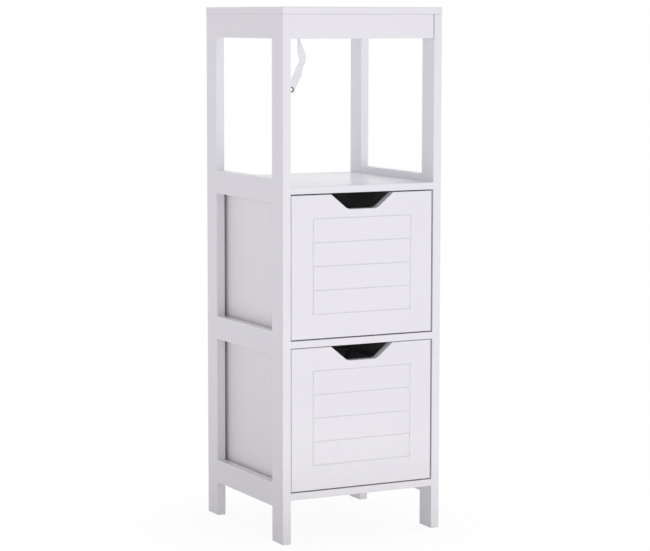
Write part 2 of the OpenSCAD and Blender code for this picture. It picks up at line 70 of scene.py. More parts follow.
def srgb(code):
    """Linear colour of six sRGB hex digits."""
    channels = [int(code[i:i + 2], 16) / 255 for i in (0, 2, 4)]
    return tuple(c / 12.92 if c <= 0.04045 else ((c + 0.055) / 1.055) ** 2.4 for c in channels)


# Settings


def length(name, description, default):
    return FloatProperty(
        name=name, description=description, default=default, unit="LENGTH", precision=5
    )


def angle(name, description, default):
    return FloatProperty(name=name, description=description, default=default, subtype="ANGLE")


def share(name, description, default):
    return FloatProperty(
        name=name, description=description, default=default, min=0, max=1, subtype="FACTOR"
    )


def colour(name, description, code):
    return FloatVectorProperty(
        name=name, description=description, default=srgb(code), subtype="COLOR", size=3, min=0, max=1
    )


class CABINET_PG_edges(PropertyGroup):
    """How the edges of the boards are rounded, and how loosely boards hold what is let into them."""

    top: length("Top board edge", "Radius of the top board's edges", 1.2 * MM)
    free: length("Free edge", "Radius of an edge that the hand can reach", 0.8 * MM)
    joint: length("Joint edge", "Radius of an edge that lies against another board", 0.25 * MM)
    pocket_gap: length("Pocket gap", "Clearance of a cam lock in its pocket", 0.1 * MM)
    groove_gap: length("Groove gap", "Clearance of a panel in its groove", 0.1 * MM)


class CABINET_PG_front(PropertyGroup):
    """The notch and the plank pattern of the drawer fronts."""

    notch_top: length("Notch width", "Width of the notch at the top edge", 117 * MM)
    notch_foot: length("Notch foot", "Width of the notch at its foot", 55 * MM)
    notch_depth: length("Notch depth", "Height of the notch", 25.5 * MM)
    notch_radius: length("Notch corner", "Radius of the corners at the notch's foot", 5 * MM)
    pattern_width: length("Pattern width", "Width between the outer grooves", 184 * MM)
    pattern_drop: length("Pattern drop", "Distance of the top groove from the top edge", 39 * MM)
    plank_height: length("Plank height", "Distance between two grooves", 39.75 * MM)
    plank_count: IntProperty(name="Planks", description="Number of planks", default=4, min=1, max=5)
    groove_width: length("Groove width", "Width of a groove at the surface", 2.5 * MM)
    groove_depth: length("Groove depth", "Depth of a groove", 1.25 * MM)


class CABINET_PG_strap(PropertyGroup):
    """The anti-tip strap and its eyelets."""

    width: length("Webbing width", "Width of the webbing", 14 * MM)
    thickness: length("Webbing thickness", "Thickness of the webbing", 1.2 * MM)
    thread: length("Thread pitch", "Distance between two warp threads", 0.9 * MM)
    hole: length("Eyelet hole", "Radius of the hole in an eyelet", 2.5 * MM)
    barrel: length("Eyelet barrel", "Outer radius of an eyelet's barrel", 3.1 * MM)
    flange: length("Eyelet flange", "Radius of an eyelet's flange", 4.5 * MM)
    flange_thickness: length("Flange thickness", "Thickness of an eyelet's flange", 0.5 * MM)
    rim: length("Flange rim", "Radius of the rounded rims of a flange", 0.225 * MM)


class CABINET_PG_screws(PropertyGroup):
    """The pan head screw of the strap and the countersunk screws of the drawers."""

    pan_height: length("Pan head", "Height of the strap screw's head", 1.9 * MM)
    pan_shank: length("Strap screw shank", "Radius of the strap screw's shank", 2 * MM)
    drawer_shank: length("Drawer screw shank", "Radius of a drawer screw's shank", 2 * MM)
    slot_width: length("Slot width", "Width of a slot of a drawer screw's cross", 1.4 * MM)
    slot_length: length("Slot length", "Length of a slot of a drawer screw's cross", 4 * MM)
    slot_depth: length("Slot depth", "Depth of a drawer screw's cross", 1.5 * MM)
    turn: angle("Cross turn", "How far the screwdriver left a cross turned", math.radians(20))


class CABINET_PG_colours(PropertyGroup):
    """Colours of the finishes."""

    lacquer: colour("Lacquer", "White satin lacquer of the boards", "EEEEF2")
    # The thin board's colour is drawn lighter than the lacquer: painted light that offsets the shade in
    # the recess behind the side frames
    thin_board: colour("Thin board", "Lacquer of the thin panels and drawer bottoms", "F5F2F4")
    melamine: colour("Melamine", "White foil of the drawer boards", "E6E5E8")
    beech: colour("Beech", "Bare beech of the dowels", "D6B48C")
    zinc_plate: colour("Zinc plate", "Plated screws and bolts", "C6C8CC")
    die_casting: colour("Die casting", "Bare zinc of the cam locks", "AEB0B3")
    webbing: colour("Webbing", "Polyester thread of the strap", "F4F4F8")
    nickel: colour("Nickel", "Nickel plate of the eyelets", "6E6B68")


class CABINET_PG_stage(PropertyGroup):
    """Camera, floor and light."""

    lens: FloatProperty(
        name="Lens", description="Focal length in millimetres", default=125.397, unit="CAMERA"
    )
    eye: FloatVectorProperty(
        name="Eye", description="Place of the camera", subtype="TRANSLATION", unit="LENGTH",
        default=(-1.78186, -3.45912, 0.87312),
    )
    yaw: angle("Yaw", "Turn to the right", 0.47701)
    pitch: angle("Pitch", "Turn upwards", -0.11365)
    roll: angle("Roll", "Tilt to the left", 0.00148)
    sky: colour("Sky", "Colour of the light from all round", "FBF8FC")
    upper_sky: share("Upper sky", "Strength of the light from above the horizon", 0.5)
    lower_sky: share("Lower sky", "Strength of the light from below it, past the floor", 0.93)
    horizon: share("Horizon", "Height of the band in which one passes into the other", 0.25)
    floor: colour("Floor", "Floor as the light sees it, which shades the lower part", "F2F0EE")
    shadowed: colour("Shadowed floor", "Floor as the camera sees it under the shadow", "FCFCFC")
    floor_radius: length("Floor radius", "Radius of the floor", 0.45)
    shadow_radius: length("Shadow radius", "Radius in which the floor shows its full shadow", 0.18)
    shadow_end: length("Shadow end", "Radius past which the floor shows no shadow", 0.4)
    whiteness: share("Whiteness", "Share of plain white in the floor under the shadow", 0.93)


class CABINET_PG_settings(PropertyGroup):
    """Everything that a user would change."""

    edges: PointerProperty(type=CABINET_PG_edges)
    front: PointerProperty(type=CABINET_PG_front)
    strap: PointerProperty(type=CABINET_PG_strap)
    screws: PointerProperty(type=CABINET_PG_screws)
    colours: PointerProperty(type=CABINET_PG_colours)
    stage: PointerProperty(type=CABINET_PG_stage)


def settings():
    return bpy.context.scene.cabinet


# Materials

# Sockets of a Mix node for colours, some of which share a name
MIX_SHARE, MIX_FIRST, MIX_SECOND, MIX_RESULT = 0, 6, 7, 2
# Orange peel of a sprayed coat, and how far it changes the roughness
PEEL_SIZE = 2.5 * MM
PEEL_GLOSS = 0.02
# Clouds of a sprayed coat, and how dark they are
CLOUD_SIZE = 90 * MM
CLOUD_SHADE = 0.985
# Nearly all of a noise texture's values lie between these
NOISE_LOW, NOISE_HIGH = 0.3, 0.7
# How many times longer than wide the grain lines of beech are
BEECH_STREAK = 14
# Depth of the hollows between two threads, and how much darker the colour is drawn in them: painted shade
WEAVE_RELIEF = 0.15 * MM
WEAVE_PAINTED_SHADE = 0.92


def rgba(colour, shade=1.0):
    """A colour for a socket, made darker or lighter by a factor."""
    return (*(min(1.0, c * shade) for c in colour), 1.0)


def add_node(tree, kind, values=(), inputs=()):
    """Adds a node with its own values, and with numbers, colours or links for its inputs."""
    node = tree.nodes.new(kind)
    for name, value in dict(values).items():
        setattr(node, name, value)
    for name, value in dict(inputs).items():
        socket = node.inputs[name]
        if isinstance(value, bpy.types.NodeSocket):
            tree.links.new(value, socket)
        else:
            socket.default_value = value
    return node


def new_material(name):
    """A material with no nodes yet, and its node tree."""
    material = bpy.data.materials.new(name)
    material.use_nodes = True
    material.node_tree.nodes.clear()
    return material, material.node_tree


def add_surface(tree, colour, shades, blend, height, depth, inputs):
    """Ends a material in a surface. Its colour goes from one shade to the other as blend goes from 0
    to 1, and its relief follows height."""
    tint = add_node(tree, "ShaderNodeMix", values={"data_type": "RGBA"}, inputs={
        MIX_SHARE: blend, MIX_FIRST: rgba(colour, shades[0]), MIX_SECOND: rgba(colour, shades[1]),
    })
    relief = add_node(tree, "ShaderNodeBump", inputs={"Height": height, "Distance": depth})
    shader = add_node(tree, "ShaderNodeBsdfPrincipled", inputs={
        "Base Color": tint.outputs[MIX_RESULT], "Normal": relief.outputs["Normal"], **inputs,
    })
    add_node(tree, "ShaderNodeOutputMaterial", inputs={"Surface": shader.outputs["BSDF"]})


def sprayed_board(name, colour, roughness, peel_depth):
    """White polyurethane lacquer, sprayed on sanded fibreboard. Satin, with a soft wide highlight,
    a faint orange peel, and clouds where the coat is a little thinner."""
    material, tree = new_material(name)
    place = add_node(tree, "ShaderNodeTexCoord").outputs["Object"]
    clouds = add_node(
        tree, "ShaderNodeTexNoise", inputs={"Vector": place, "Scale": 1 / CLOUD_SIZE, "Detail": 2.0}
    )
    peel = add_node(
        tree, "ShaderNodeTexNoise", inputs={"Vector": place, "Scale": 1 / PEEL_SIZE, "Detail": 1.0}
    ).outputs["Fac"]
    gloss = add_node(tree, "ShaderNodeMapRange", inputs={
        "Value": peel, "To Min": roughness - PEEL_GLOSS, "To Max": roughness + PEEL_GLOSS,
    })
    add_surface(tree, colour, (CLOUD_SHADE, 1), clouds.outputs["Fac"], peel, peel_depth, {
        "Roughness": gloss.outputs["Result"], "IOR": 1.5,
    })
    return material


def satin_lacquer():
    """Two sanded coats on the boards. Smooth enough for a faint reflection at a low angle."""
    return sprayed_board(
        "satin_lacquered_fibreboard", settings().colours.lacquer, roughness=0.23, peel_depth=0.02 * MM
    )


def thin_board_lacquer_lightened():
    """One coat on the thin panels and drawer bottoms, which is left duller and a little rougher. Its
    colour is drawn lighter than the boards' lacquer: painted light that offsets the shade in the panels'
    recess.
    """
    return sprayed_board(
        "lacquered_thin_board", settings().colours.thin_board, roughness=0.45, peel_depth=0.03 * MM
    )


def grained_surface(name, colour, grain, shades, roughness, depth, stretch=(1, 1, 1), metallic=0.0):
    """A surface whose colour, gloss and relief follow one grain, grain metres wide. Each pair holds
    the values in the grain's hollows and on its ridges."""
    material, tree = new_material(name)
    place = add_node(tree, "ShaderNodeTexCoord").outputs["Object"]
    drawn = add_node(
        tree, "ShaderNodeMapping", inputs={"Vector": place, "Scale": [1 / (grain * s) for s in stretch]}
    )
    noise = add_node(tree, "ShaderNodeTexNoise", inputs={
        "Vector": drawn.outputs["Vector"], "Scale": 1.0, "Detail": 3.0,
    }).outputs["Fac"]
    ridges = add_node(tree, "ShaderNodeMapRange", inputs={
        "Value": noise, "From Min": NOISE_LOW, "From Max": NOISE_HIGH,
    }).outputs["Result"]
    gloss = add_node(tree, "ShaderNodeMapRange", inputs={
        "Value": ridges, "To Min": roughness[0], "To Max": roughness[1],
    })
    add_surface(tree, colour, shades, ridges, noise, depth, {
        "Roughness": gloss.outputs["Result"], "Metallic": metallic,
    })
    return material


def melamine_foil():
    """White melamine foil pressed on chipboard. Matt, with a fine pearl grain of about 0.8 mm."""
    return grained_surface(
        "melamine_faced_chipboard", settings().colours.melamine, grain=0.8 * MM, shades=(0.975, 1.01),
        roughness=(0.48, 0.54), depth=0.03 * MM,
    )


def turned_beech(axis):
    """Bare turned beech. Pale, dull and warm, with grain lines 0.5 mm apart along the dowel."""
    stretch = [1, 1, 1]
    stretch[axis] = BEECH_STREAK
    return grained_surface(
        "turned_beech_" + "xyz"[axis], settings().colours.beech, grain=0.5 * MM, shades=(0.78, 1.04),
        roughness=(0.72, 0.64), depth=0.06 * MM, stretch=stretch,
    )


def bright_zinc_plate():
    """Steel with bright zinc plate: a bluish grey mirror with a slight haze."""
    return grained_surface(
        "bright_zinc_plated_steel", settings().colours.zinc_plate, grain=0.7 * MM, shades=(0.92, 1.03),
        roughness=(0.22, 0.33), depth=0.01 * MM, metallic=1.0,
    )


def zinc_casting():
    """Zinc straight from the die: dull grey, with the fine grain of the tool's skin."""
    return grained_surface(
        "bare_zinc_die_casting", settings().colours.die_casting, grain=0.4 * MM, shades=(0.92, 1.03),
        roughness=(0.39, 0.50), depth=0.02 * MM, metallic=1.0,
    )


def nickel_plate():
    """Black nickel over pressed brass: a dark, slightly warm mirror with faint press marks."""
    return grained_surface(
        "nickel_plated_brass", settings().colours.nickel, grain=1.2 * MM, shades=(0.9, 1.05),
        roughness=(0.16, 0.26), depth=0.01 * MM, metallic=1.0,
    )


def woven_polyester():
    """White polyester webbing in plain weave, soft to the eye because light passes into the threads.
    The UV map draws them: its U runs across the webbing and its V along it, both in metres."""
    material, tree = new_material("woven_polyester_webbing")
    place = add_node(tree, "ShaderNodeUVMap", values={"uv_map": "weave"}).outputs["UV"]
    across, along, _ = add_node(tree, "ShaderNodeSeparateXYZ", inputs={"Vector": place}).outputs
    # Where the threads of one way lie on top, and then where those of the other way do
    ridges = []
    for shift in (0, math.pi / 2):
        waves = []
        for distance in (across, along):
            phase = add_node(
                tree, "ShaderNodeMath", values={"operation": "MULTIPLY_ADD"},
                inputs={0: distance, 1: math.pi / settings().strap.thread, 2: shift},
            )
            wave = add_node(
                tree, "ShaderNodeMath", values={"operation": "SINE"}, inputs={0: phase.outputs[0]}
            )
            waves.append(wave.outputs[0])
        crossing = add_node(
            tree, "ShaderNodeMath", values={"operation": "MULTIPLY"}, inputs=enumerate(waves)
        )
        ridge = add_node(
            tree, "ShaderNodeMath", values={"operation": "ABSOLUTE"}, inputs={0: crossing.outputs[0]}
        )
        ridges.append(ridge.outputs[0])
    height = add_node(
        tree, "ShaderNodeMath", values={"operation": "MAXIMUM"}, inputs=enumerate(ridges)
    ).outputs[0]
    colour = settings().colours.webbing
    # The colour is drawn darker in the hollows between the threads: painted shade
    add_surface(tree, colour, (WEAVE_PAINTED_SHADE, 1), height, height, WEAVE_RELIEF, {
        "Roughness": 0.8, "Sheen Weight": 0.25, "Subsurface Weight": 1.0,
        "Subsurface Radius": (1.0, 1.0, 1.0), "Subsurface Scale": 5 * MM,
    })
    return material


FINISHES = {
    "white_lacquered_board": satin_lacquer,
    "white_thin_board": thin_board_lacquer_lightened,
    "white_drawer_board": melamine_foil,
    "zinc_plated_steel": bright_zinc_plate,
    "zinc_die_casting": zinc_casting,
    "white_webbing": woven_polyester,
    "nickel_plated_brass": nickel_plate,
}
# The materials made so far, by their slots
made_finishes = {}


def finish_of(slot):
    """The material of a slot, made when it is first asked for."""
    if slot not in made_finishes:
        made_finishes[slot] = FINISHES[slot]()
    return made_finishes[slot]


# Shapes

# Sides of a turned or drilled shape
ROUND_SIDES = 48
# Points nearer to each other than this are one point
MERGE = 0.001 * MM
# Points nearer than this to a cutting plane, and to a board's face, lie in it
ON_CUT = 0.0001 * MM
ON_FACE = 0.01 * MM
# A face looks along an axis if more than this share of its normal does
FACING = 0.9
# Two faces that meet at more than the first angle have a corner between them, and two that meet at
# less than the second are one flat face
CORNER_ANGLE = math.radians(60)
FLAT_ANGLE = math.radians(0.5)
# How far a cutting tool sticks out of what it cuts
OVER = MM


def as_object(name, shape):
    """Puts a bmesh in the scene as an object at the origin."""
    mesh = bpy.data.meshes.new(name)
    shape.to_mesh(mesh)
    shape.free()
    item = bpy.data.objects.new(name, mesh)
    bpy.context.scene.collection.objects.link(item)
    return item


def add_piece(name, shape, body, slot, node):
    """Makes a bmesh a piece of a body, in the finish of a slot, in place of a CAD node."""
    piece = as_object(name, shape)
    piece.data.materials.append(finish_of(slot))
    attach(piece, body)
    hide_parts(node)
    return piece


def smooth(piece, corner=math.radians(40)):
    """Shades a piece smooth, but for the edges that are sharper than corner."""
    piece.data.shade_smooth()
    piece.data.set_sharp_from_angle(angle=corner)


def add_box(shape, low, high):
    """Adds a box between two corners."""
    verts = bmesh.ops.create_cube(shape, size=1)["verts"]
    bmesh.ops.scale(shape, vec=high - low, verts=verts)
    bmesh.ops.translate(shape, vec=(low + high) / 2, verts=verts)


def new_box(low, high):
    shape = bmesh.new()
    add_box(shape, low, high)
    return shape


def add_rod(shape, start, end, radius, end_radius=None):
    """Adds a straight rod or cone between two points."""
    way = end - start
    turn = Vector((0, 0, 1)).rotation_difference(way).to_matrix().to_4x4()
    bmesh.ops.create_cone(
        shape, cap_ends=True, cap_tris=False, segments=ROUND_SIDES, radius1=radius,
        radius2=radius if end_radius is None else end_radius, depth=way.length,
        matrix=Matrix.Translation((start + end) / 2) @ turn,
    )


def add_shape(shape, other, matrix):
    """Adds a bmesh to another at the place that a matrix gives."""
    mesh = bpy.data.meshes.new("added")
    other.to_mesh(mesh)
    other.free()
    mesh.transform(matrix)
    shape.from_mesh(mesh)
    bpy.data.meshes.remove(mesh)


def turned_shape(profile, middle, closed=True):
    """Turns a profile of (radius, height) points about the line along Y through a point. A profile
    that isn't closed starts and ends on that line."""
    shape = bmesh.new()
    verts = [shape.verts.new(middle + Vector((radius, height, 0))) for radius, height in profile]
    pairs = list(zip(verts, verts[1:] + verts[:1]))
    if not closed:
        pairs.pop()
    edges = [shape.edges.new(pair) for pair in pairs]
    bmesh.ops.spin(
        shape, geom=verts + edges, cent=middle, axis=(0, 1, 0), angle=math.tau, steps=ROUND_SIDES,
        use_merge=True,
    )
    bmesh.ops.remove_doubles(shape, verts=shape.verts, dist=MERGE)
    bmesh.ops.recalc_face_normals(shape, faces=shape.faces)
    return shape


def cut_out(shape, tool):
    """Takes one bmesh out of another."""
    solid, cutter = as_object("cut_solid", shape), as_object("cut_tool", tool)
    cut = solid.modifiers.new("cut", "BOOLEAN")
    cut.operation = "DIFFERENCE"
    cut.solver = "EXACT"
    cut.use_self = True
    cut.object = cutter
    result = bmesh.new()
    result.from_object(solid, bpy.context.evaluated_depsgraph_get())
    # The object of a mesh goes with it
    for item in (solid, cutter):
        bpy.data.meshes.remove(item.data)
    return result


def ease(shape, edges, radius, segments=3):
    """Rounds edges."""
    bmesh.ops.bevel(
        shape, geom=list(edges), offset=radius, offset_type="OFFSET", segments=segments, profile=0.5,
        affect="EDGES", material=-1, clamp_overlap=True,
    )


def corner_edges(shape):
    """The edges at which two faces meet squarely or nearly so."""
    return [e for e in shape.edges if e.is_manifold and e.calc_face_angle(0) > CORNER_ANGLE]


def rim_edges(shape, low, high):
    """The corner edges round the front face and round the back face."""
    return [e for e in corner_edges(shape) if any(
        all(abs(v.co.y - y) < ON_FACE for v in e.verts) for y in (low.y, high.y)
    )]


def solids_of(node):
    """The lowest and highest corner of each separate solid in a CAD node."""
    shape = bmesh.new()
    shape.from_mesh(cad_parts[node].data)
    bmesh.ops.remove_doubles(shape, verts=shape.verts, dist=MERGE)
    found, seen = [], set()
    for start in shape.verts:
        if start in seen:
            continue
        seen.add(start)
        solid = [start]
        # The list grows as the loop finds the neighbours of the points in it
        for vert in solid:
            for edge in vert.link_edges:
                other = edge.other_vert(vert)
                if other not in seen:
                    seen.add(other)
                    solid.append(other)
        found.append(tuple(Vector(map(pick, zip(*(v.co for v in solid)))) for pick in (min, max)))
    shape.free()
    return found


# Cuts in the boards

# Room round a countersunk head in its seat, and the radius in which the seat ends
SEAT_ROOM = 0.4 * MM
SEAT_TIP = 0.6 * MM


def overlaps(first, second):
    """Whether two boxes overlap."""
    return all(a < d and c < b for a, b, c, d in zip(*first, *second))


def add_cam_pocket(tool, lock, board, gap):
    """Adds the pocket of a cam lock, open at the face of the board that the lock lies nearest."""
    low, high = lock
    axis = min((X, Y, Z), key=lambda i: high[i] - low[i])
    radius = max(high - low) / 2 + gap
    opens_low = low[axis] - board[0][axis] < board[1][axis] - high[axis]
    floor_gap = 2 * gap
    start, end = (low + high) / 2, (low + high) / 2
    start[axis] = low[axis] - (OVER if opens_low else floor_gap)
    end[axis] = high[axis] + (floor_gap if opens_low else OVER)
    add_rod(tool, start, end, radius)


def add_screw_seat(tool, screw, board):
    """Adds the countersink of a screw that goes along X, from the side of the board that it starts at."""
    low, high = screw
    head_radius = (high.y - low.y) / 2 + SEAT_ROOM
    start, end = (low + high) / 2, (low + high) / 2
    from_low = low.x - board[0].x < board[1].x - high.x
    start.x = (low.x - OVER) if from_low else (high.x + OVER)
    end.x = start.x + (1 if from_low else -1) * (head_radius + OVER)
    add_rod(tool, start, end, head_radius + SEAT_TIP, SEAT_TIP)


def cut_seats(shape, node, locks=(), panels=(), screws=()):
    """Cuts what a board holds out of it: pockets for cam locks, grooves for panels, countersinks."""
    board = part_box(node)
    edges = settings().edges
    tool = bmesh.new()
    for lock in (box for name in locks for box in solids_of(name)):
        if overlaps(lock, board):
            add_cam_pocket(tool, lock, board, edges.pocket_gap)
    for screw in (box for name in screws for box in solids_of(name)):
        if overlaps(screw, board):
            add_screw_seat(tool, screw, board)
    gap = Vector((1, 1, 1)) * edges.groove_gap
    for low, high in map(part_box, panels):
        if overlaps((low, high), board):
            add_box(tool, low - gap, high + gap)
    return cut_out(shape, tool)


# Boards


def edges_along(axis):
    """Names of a board's four edges along an axis. An edge is named by its side, -1 or 1, along X, Y
    and Z, with 0 for its own axis."""
    return [(*pair[:axis], 0, *pair[axis:]) for pair in [(a, b) for a in BOTH for b in BOTH]]


def edge_name(edge, centre, reach):
    """The name of an edge of a box, given the box's centre and half its size."""
    middle = (edge.verts[0].co + edge.verts[1].co) / 2 - centre
    return tuple(round(m / r) for m, r in zip(middle, reach))


def ease_board(shape, low, high, free, free_radius, joint_radius, square=()):
    """Rounds a plain board's edges: those named in free by one radius, those in square not at all,
    and the others by another radius."""
    centre, reach = (low + high) / 2, (high - low) / 2
    named = {edge: edge_name(edge, centre, reach) for edge in corner_edges(shape)}
    ease(shape, [edge for edge, name in named.items() if name in free], free_radius)
    left = [e for e in corner_edges(shape) if edge_name(e, centre, reach) not in (*free, *square)]
    ease(shape, left, joint_radius, segments=1)


def add_board(node, body, slot, free, radius=None, square=(), **seats):
    """Makes a board in place of a CAD node."""
    low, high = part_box(node)
    shape = new_box(low, high)
    edges = settings().edges
    ease_board(shape, low, high, free, radius or edges.free, edges.joint, square)
    if seats:
        shape = cut_seats(shape, node, **seats)
    return add_piece(node + "_board", shape, body, slot, node)


class CABINET_OT_top(Operator):
    """Makes the top board and the rails under its front and back edges."""

    bl_idname = "cabinet.top"
    bl_label = "Top board and rails"

    def execute(self, context):
        lacquer = "white_lacquered_board"
        all_edges = edges_along(X) + edges_along(Y) + edges_along(Z)
        add_board("top_panel", "cabinet", lacquer, all_edges, settings().edges.top)
        ends = edges_along(Z) + edges_along(Y)
        for node, away in (("front_top_rail", -1), ("rear_top_rail", 1)):
            free = [(0, -1, -1), (0, 1, -1), (0, away, 1)]
            add_board(node, "cabinet", lacquer, free, square=ends, locks=["top_rail_cam_locks"])
        return {"FINISHED"}


class CABINET_OT_side_frames(Operator):
    """Makes the posts and rails of both side frames."""

    bl_idname = "cabinet.side_frames"
    bl_label = "Side frames"

    def execute(self, context):
        lacquer = "white_lacquered_board"
        ends = edges_along(Z) + edges_along(X)
        for side, out in SIDES.items():
            for post, away in (("front", -1), ("rear", 1)):
                # The edges beside the drawers and the top rails stay crisp
                free = [(out, away, 0), (0, away, 1), (out, 0, 1)]
                free += [(0, y, -1) for y in BOTH] + [(x, 0, -1) for x in BOTH]
                add_board(f"{side}_{post}_post", "cabinet", lacquer, free)
            # The inner upper edge lies against the top board
            free = [(-1, 0, -1), (1, 0, -1), (out, 0, 1)]
            add_board(
                f"{side}_top_rail", "cabinet", lacquer, free, square=ends, locks=["top_cam_locks"]
            )
            for rail in ("shelf", "middle", "bottom"):
                add_board(f"{side}_{rail}_rail", "cabinet", lacquer, edges_along(Y), square=ends)
        return {"FINISHED"}


class CABINET_OT_shelves(Operator):
    """Makes the three shelves, with their cam pockets and panel grooves."""

    bl_idname = "cabinet.shelves"
    bl_label = "Shelves"

    def execute(self, context):
        panels = [f"{side}_{bay}_side_panel" for side in SIDES for bay in DRAWERS]
        panels += [f"{bay}_back_panel" for bay in DRAWERS]
        for node in ("open_shelf", "middle_shelf", "bottom_shelf"):
            add_board(
                node, "cabinet", "white_lacquered_board", edges_along(X), locks=["shelf_cam_locks"],
                panels=panels,
            )
        return {"FINISHED"}


class CABINET_OT_panels(Operator):
    """Makes the thin panels behind the side frames and across the back."""

    bl_idname = "cabinet.panels"
    bl_label = "Side and back panels"

    def execute(self, context):
        nodes = [f"{side}_{bay}_side_panel" for side in SIDES for bay in DRAWERS]
        for node in nodes + [f"{bay}_back_panel" for bay in DRAWERS]:
            add_board(node, "cabinet", "white_thin_board", ())
        return {"FINISHED"}


# Drawers


def notch_tool(low, high, front):
    """The block that cuts the notch: a trapezium whose foot corners are rounded."""
    middle = (low.x + high.x) / 2
    half_top = front.notch_top / 2
    top = Vector((middle + half_top, high.y + OVER, high.z + OVER))
    foot = Vector((middle - half_top, low.y - OVER, high.z - front.notch_depth))
    shape = new_box(foot, top)
    slope = (half_top - front.notch_foot / 2) / front.notch_depth
    for vert in shape.verts:
        half = half_top + slope * (vert.co.z - high.z)
        vert.co.x = middle + math.copysign(half, vert.co.x - middle)
    half_way = high.z - front.notch_depth / 2
    # The two edges that run from front to back at the notch's foot
    foot_corners = [
        e for e in shape.edges
        if all(v.co.z < half_way for v in e.verts)
        and abs(e.verts[0].co.x - e.verts[1].co.x) < ON_FACE
    ]
    ease(shape, foot_corners, front.notch_radius, segments=10)
    return shape


def split_faces(shape, faces, point, normal):
    """Cuts faces along a plane, and returns what they become."""
    parts = {*faces, *(e for f in faces for e in f.edges), *(v for f in faces for v in f.verts)}
    cut = bmesh.ops.bisect_plane(
        shape, geom=list(parts), plane_co=point, plane_no=normal, dist=ON_CUT
    )
    return [part for part in cut["geom"] if isinstance(part, bmesh.types.BMFace)]


def sink_pattern(shape, low, high, front):
    """Sinks the grooves of the plank pattern into the front face: the whole field goes down by their
    depth, and then each plank comes up again inside its own margin."""
    middle = (low.x + high.x) / 2
    half_groove = front.groove_width / 2
    half_width = front.pattern_width / 2 + half_groove
    top = high.z - front.pattern_drop
    foot = top - front.plank_height * front.plank_count
    faces = [f for f in shape.faces if f.normal.y < -FACING]
    for point, normal in (
        ((middle - half_width, 0, 0), (1, 0, 0)),
        ((middle + half_width, 0, 0), (1, 0, 0)),
        ((0, 0, top + half_groove), (0, 0, 1)),
        ((0, 0, foot - half_groove), (0, 0, 1)),
    ):
        faces = split_faces(shape, faces, point, normal)
    centre = Vector((middle, low.y, (top + foot) / 2))
    field = min(faces, key=lambda f: (f.calc_center_median() - centre).length)
    bmesh.ops.inset_region(
        shape, faces=[field], thickness=half_groove, depth=-front.groove_depth, use_even_offset=True,
        use_boundary=True,
    )
    planks = [field]
    for i in range(1, front.plank_count):
        planks = split_faces(shape, planks, (0, 0, top - i * front.plank_height), (0, 0, 1))
    bmesh.ops.inset_individual(
        shape, faces=planks, thickness=half_groove, depth=front.groove_depth, use_even_offset=True
    )


class CABINET_OT_drawer_fronts(Operator):
    """Makes the drawer fronts, with the plank pattern and the notch that serves as a pull."""

    bl_idname = "cabinet.drawer_fronts"
    bl_label = "Drawer fronts"

    def execute(self, context):
        front = settings().front
        for drawer in DRAWERS:
            node = f"{drawer}_drawer_front"
            low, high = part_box(node)
            shape = new_box(low, high)
            sink_pattern(shape, low, high, front)
            shape = cut_out(shape, notch_tool(low, high, front))
            bmesh.ops.dissolve_limit(
                shape, angle_limit=FLAT_ANGLE, verts=shape.verts, edges=shape.edges
            )
            ease(shape, rim_edges(shape, low, high), settings().edges.free)
            shape = cut_seats(shape, node, panels=[f"{drawer}_drawer_bottom"])
            add_piece(node + "_board", shape, f"{drawer}_drawer", "white_lacquered_board", node)
        return {"FINISHED"}


class CABINET_OT_drawer_boxes(Operator):
    """Makes the sides, back and bottom of both drawers."""

    bl_idname = "cabinet.drawer_boxes"
    bl_label = "Drawer boxes"

    def execute(self, context):
        for drawer in DRAWERS:
            body = f"{drawer}_drawer"
            bottom = [f"{body}_bottom"]
            upper_edges = [(x, 0, 1) for x in BOTH]
            for side in SIDES:
                add_board(
                    f"{body}_{side}_side", body, "white_drawer_board", upper_edges,
                    locks=[f"{body}_cam_locks"], screws=[f"{body}_screws"], panels=bottom,
                )
            upper_edges = [(0, y, 1) for y in BOTH]
            add_board(f"{body}_back", body, "white_drawer_board", upper_edges, panels=bottom)
            add_board(f"{body}_bottom", body, "white_thin_board", ())
        return {"FINISHED"}


# Screws and fasteners

# The side of a pan head from its seat to its crown: shares of the head's radius and of its height
PAN_HEAD = ((1, 0), (1, 0.35), (0.86, 0.7), (0.55, 0.93), (0, 1))
# The pan head's cross: its slots' width and length as shares of the head's width, and their depth as
# a share of its height
PAN_CROSS = (0.125, 0.5, 0.5)


def cross_tool(centre, slot_width, slot_length, depth):
    """The cross that cuts a screw's recess along Y: a square rod whose four sides are drawn out."""
    rod = Vector((slot_width / 2, depth, slot_width / 2))
    shape = new_box(centre - rod, centre + rod)
    sides = [f for f in shape.faces if abs(f.normal.y) < FACING]
    for arm in bmesh.ops.extrude_discrete_faces(shape, faces=sides)["faces"]:
        bmesh.ops.translate(shape, vec=arm.normal * (slot_length - slot_width) / 2, verts=arm.verts)
    turn = Matrix.Rotation(settings().screws.turn, 3, "Y")
    bmesh.ops.rotate(shape, cent=centre, matrix=turn, verts=shape.verts)
    return shape


def pan_head_screw(low, high):
    """A domed screw with a cross recess, turned about Y, that fills a box. Its head faces the front."""
    screws = settings().screws
    middle = (low + high) / 2
    head = (high.x - low.x) / 2
    tip = high.y - middle.y
    seat = low.y - middle.y + screws.pan_height
    profile = [(0, tip), (screws.pan_shank, tip - screws.pan_shank), (screws.pan_shank, seat)]
    profile += [(out * head, seat - up * screws.pan_height) for out, up in PAN_HEAD]
    shape = turned_shape(profile, middle, closed=False)
    crown = Vector((middle.x, low.y, middle.z))
    sizes = (2 * head, 2 * head, screws.pan_height)
    return cut_out(shape, cross_tool(crown, *(size * part for size, part in zip(sizes, PAN_CROSS))))


def countersunk_screw(head_width, screw_length):
    """A countersunk screw with a cross recess, turned about Y. Its head faces the front."""
    screws = settings().screws
    head, half, shank = head_width / 2, screw_length / 2, screws.drawer_shank
    profile = [(0, half), (shank, half - shank), (shank, head - shank - half), (head, -half), (0, -half)]
    shape = turned_shape(profile, Vector(), closed=False)
    crown = Vector((0, -half, 0))
    return cut_out(
        shape, cross_tool(crown, screws.slot_width, screws.slot_length, screws.slot_depth)
    )


